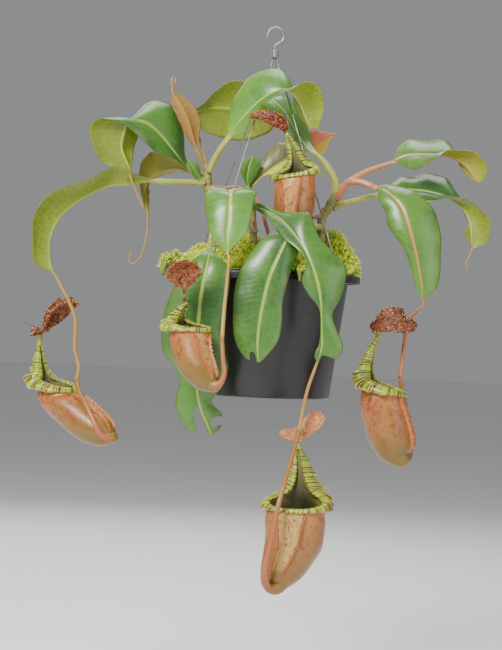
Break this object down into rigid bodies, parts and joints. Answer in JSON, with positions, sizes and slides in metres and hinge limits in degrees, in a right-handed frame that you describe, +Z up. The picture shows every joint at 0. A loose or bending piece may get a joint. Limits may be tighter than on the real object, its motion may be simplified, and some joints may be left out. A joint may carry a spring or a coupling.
{
  "type": "hanging pitcher plant",
  "caption": "Tropical pitcher plant in a wire-hung pot: arching strap leaves, mossy top and hanging cup traps with rolled striped lips and lids.",
  "frame": {"origin": "point inside the top of the hook's bend, where the hanger bears on its support, over the middle of the pot", "axes": "+Z up along the pot's axis, +X to the right and +Y away from the viewer as pictured"},
  "size_m": [0.5845, 0.3474, 0.7154],
  "materials": {
    "pot_plastic": "black moulded plastic, satin",
    "mix": "loose bark and fibre potting mix",
    "moss": "live feathery moss",
    "wire": "dull grey drawn wire",
    "stem": "green-brown woody stem",
    "leaf": "glossy leathery leaf",
    "old_leaf": "yellowing or olive leaf",
    "pitcher_cup": "smooth waxy orange-tan, speckled red",
    "pitcher_lip": "glossy lime with dark red stripes",
    "pitcher_lid": "granular red-brown"
  },
  "bodies": {
    "root": {"pot": "pot_plastic", "growing_mix": "mix", "moss": "moss", "hanger_hook": "wire", "hanger_wire_back_right": "wire", "hanger_wire_back_left": "wire", "hanger_wire_front_left": "wire", "hanger_wire_front_right": "wire", "stem_left": "stem", "stem_right": "stem", "stem_centre": "stem", "leaf_left_long": "leaf", "leaf_left_upper": "leaf", "leaf_left_back": "old_leaf", "leaf_left_small": "leaf", "leaf_left_young": "old_leaf", "leaf_top": "leaf", "leaf_back_arching": "leaf", "leaf_right_young": "leaf", "leaf_centre_back": "old_leaf", "leaf_centre_small": "leaf", "leaf_front_left": "leaf", "leaf_front_centre": "leaf", "leaf_front_right": "leaf", "leaf_front_long": "leaf", "leaf_right_hanging": "leaf", "leaf_right_low": "leaf", "leaf_right_upper": "leaf", "pitcher_left_cup": "pitcher_cup", "pitcher_left_lip": "pitcher_lip", "pitcher_left_lid": "pitcher_lid", "pitcher_front_left_cup": "pitcher_cup", "pitcher_front_left_lip": "pitcher_lip", "pitcher_front_left_lid": "pitcher_lid", "pitcher_bottom_cup": "pitcher_cup", "pitcher_bottom_lip": "pitcher_lip", "pitcher_bottom_lid": "pitcher_lid", "pitcher_right_cup": "pitcher_cup", "pitcher_right_lip": "pitcher_lip", "pitcher_right_lid": "pitcher_lid", "pitcher_top_cup": "pitcher_cup", "pitcher_top_lip": "pitcher_lip", "pitcher_top_lid": "pitcher_lid"}
  },
  "joints": []
}
